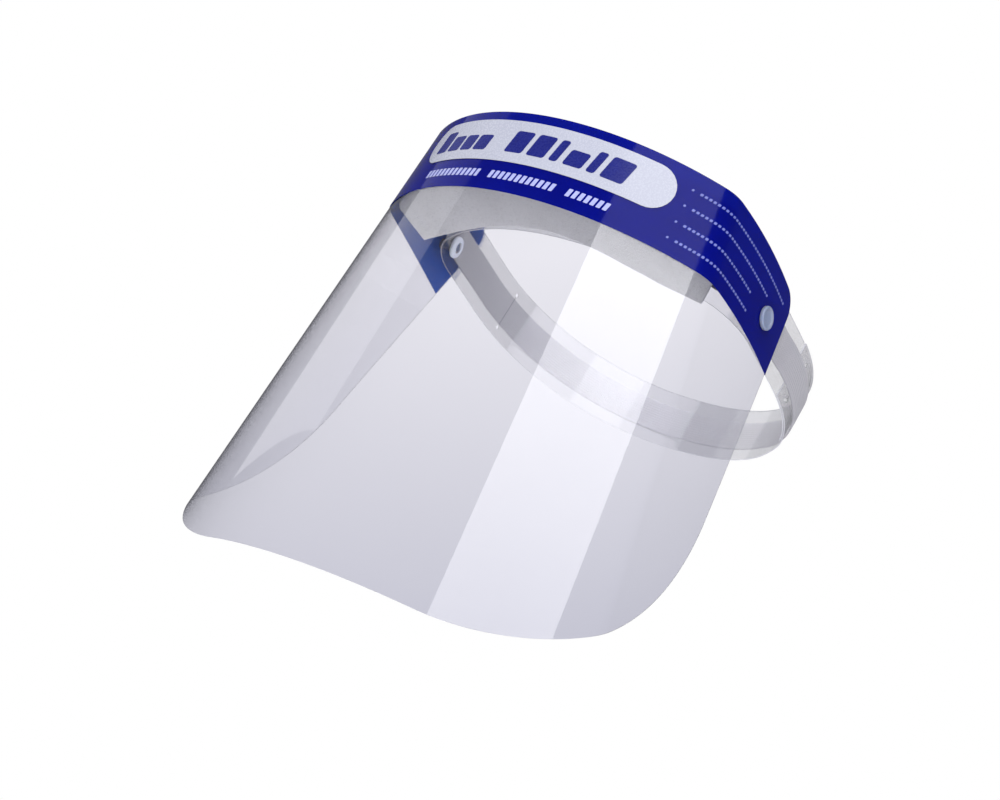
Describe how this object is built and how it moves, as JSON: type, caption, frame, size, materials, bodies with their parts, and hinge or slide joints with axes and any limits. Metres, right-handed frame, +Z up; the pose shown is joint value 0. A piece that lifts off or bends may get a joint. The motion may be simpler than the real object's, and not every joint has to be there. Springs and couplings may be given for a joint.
{
  "type": "face shield",
  "caption": "Full-face shield: clear bent visor with printed header and foam brow pad, riveted at both temples to a clear head band with an elastic strap.",
  "frame": {"origin": "centre of the head band, at half its height: the middle of the ring that goes round the wearer's head", "axes": "-Y the way the wearer looks, +X the wearer's left, +Z up towards the crown"},
  "size_m": [0.222, 0.2126, 0.2225],
  "materials": {
    "clear_film": "clear PET film, glossy",
    "clear_band": "clear PET strip, glossy",
    "blue_print": "gloss printed layer",
    "white_print": "gloss printed panel",
    "foam": "open-cell polyurethane foam",
    "tape": "double-sided adhesive tape",
    "elastic": "ribbed woven elastic",
    "rivet_plastic": "moulded nylon, satin"
  },
  "bodies": {
    "headband": {"head_band": "clear_band", "elastic_strap": "elastic", "rivet_socket_left": "rivet_plastic", "rivet_socket_right": "rivet_plastic"},
    "visor": {"visor_film": "clear_film", "header_print": "blue_print", "header_label": "white_print", "foam_pad": "foam", "foam_tape": "tape", "rivet_left": "rivet_plastic", "rivet_right": "rivet_plastic"}
  },
  "joints": [
    {"name": "visor_pivot", "type": "hinge", "parent": "headband", "child": "visor", "pos_m": [0, -0.041, -0.005], "axis": [-1, 0, 0], "range_deg": [0, 60]}
  ]
}
